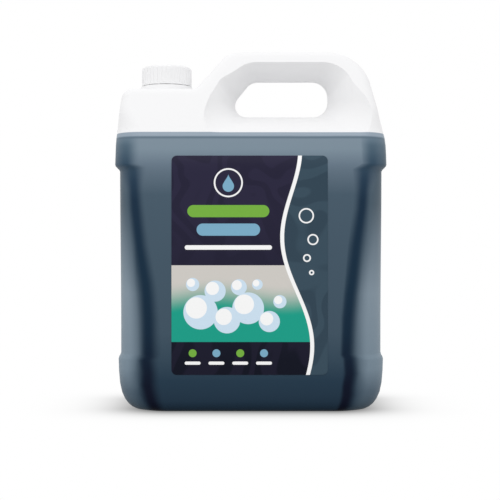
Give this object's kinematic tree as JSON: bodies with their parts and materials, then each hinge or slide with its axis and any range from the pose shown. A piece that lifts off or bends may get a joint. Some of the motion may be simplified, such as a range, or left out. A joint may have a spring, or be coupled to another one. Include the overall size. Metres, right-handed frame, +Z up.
{
  "type": "laundry detergent bottle",
  "caption": "Blow-moulded jerry-can bottle of liquid laundry detergent with a moulded-in handle, a ribbed screw cap, a tamper band and a front label.",
  "frame": {"origin": "middle of the base, on the surface that it stands on", "axes": "+Z up, +X from the cap towards the handle's end, -Y out of the labelled front"},
  "size_m": [0.21, 0.1303, 0.281],
  "materials": {
    "natural_polyethylene": "satin, milky white",
    "cap_plastic": "satin white",
    "liner_foam": "matt foam",
    "band_plastic": "satin white",
    "label_film": "gloss printed film",
    "liquid_detergent": "clear dark blue liquid"
  },
  "bodies": {
    "bottle": {"bottle": "natural_polyethylene", "tamper_band": "band_plastic", "front_label": "label_film", "detergent": "liquid_detergent"},
    "liner": {"cap_liner": "liner_foam"},
    "cap": {"cap": "cap_plastic"}
  },
  "joints": [
    {"name": "cap_lift", "type": "slide", "parent": "bottle", "child": "liner", "axis": [0, 0, 1], "range_m": [0, 0.00601]},
    {"name": "cap_turn", "type": "hinge", "parent": "liner", "child": "cap", "pos_m": [-0.0678, 0, 0.26], "axis": [0, 0, 1], "range_deg": [0, 540]}
  ],
  "couplings": [
    {"joint": "cap_lift", "follows": "cap_turn", "m_per_rad": 0.00063662}
  ]
}
